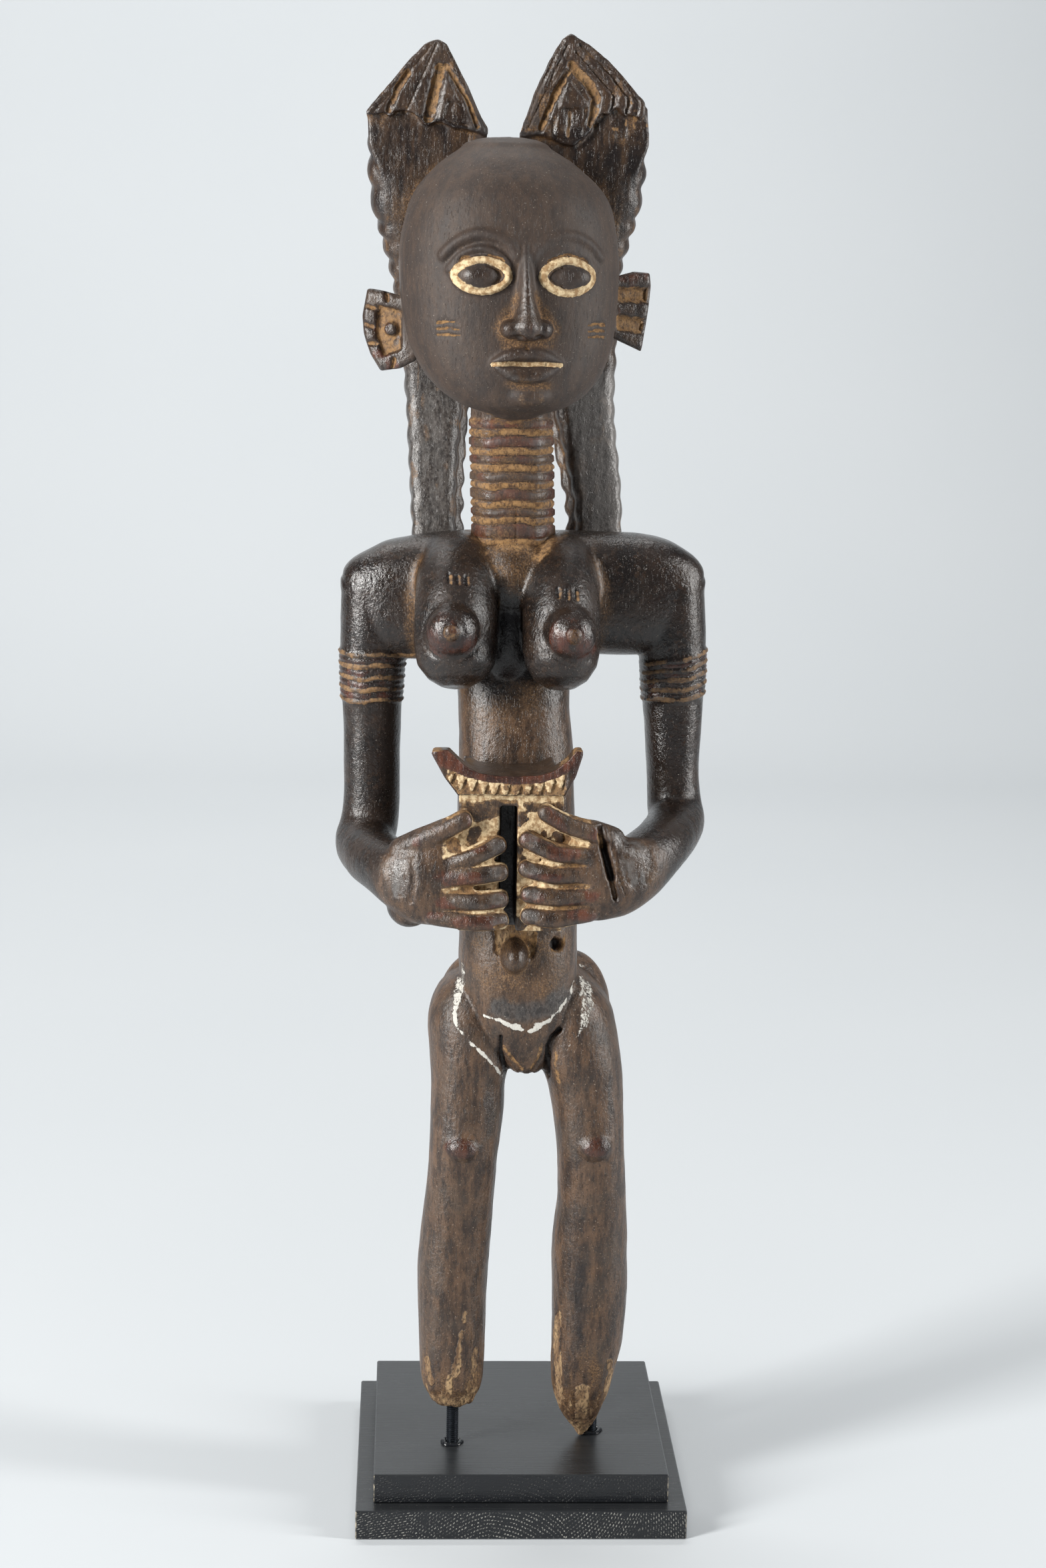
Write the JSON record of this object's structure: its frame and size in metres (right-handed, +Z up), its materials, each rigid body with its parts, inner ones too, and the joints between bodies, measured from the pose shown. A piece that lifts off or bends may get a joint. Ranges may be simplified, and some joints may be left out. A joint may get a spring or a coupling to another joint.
{
  "type": "carved figure on plinth",
  "caption": "Standing carved wooden woman with horned hair crests, holding a slotted block, pinned by threaded rods to a stepped black plinth.",
  "frame": {"origin": "middle of the plinth's underside", "axes": "+Z up, the figure looks along -Y, its right hand is on the -X side"},
  "size_m": [0.2308, 0.2242, 0.9227],
  "materials": {
    "patinated_wood": "dark glossy patina with ochre in the recesses",
    "blackened_steel": "blackened thread",
    "black_wood": "satin black, limed end grain on the edges"
  },
  "bodies": {
    "root": {"figure": "patinated_wood", "threaded_rod_left": "blackened_steel", "threaded_rod_right": "blackened_steel", "plinth_upper": "black_wood", "plinth_lower": "black_wood"}
  },
  "joints": []
}
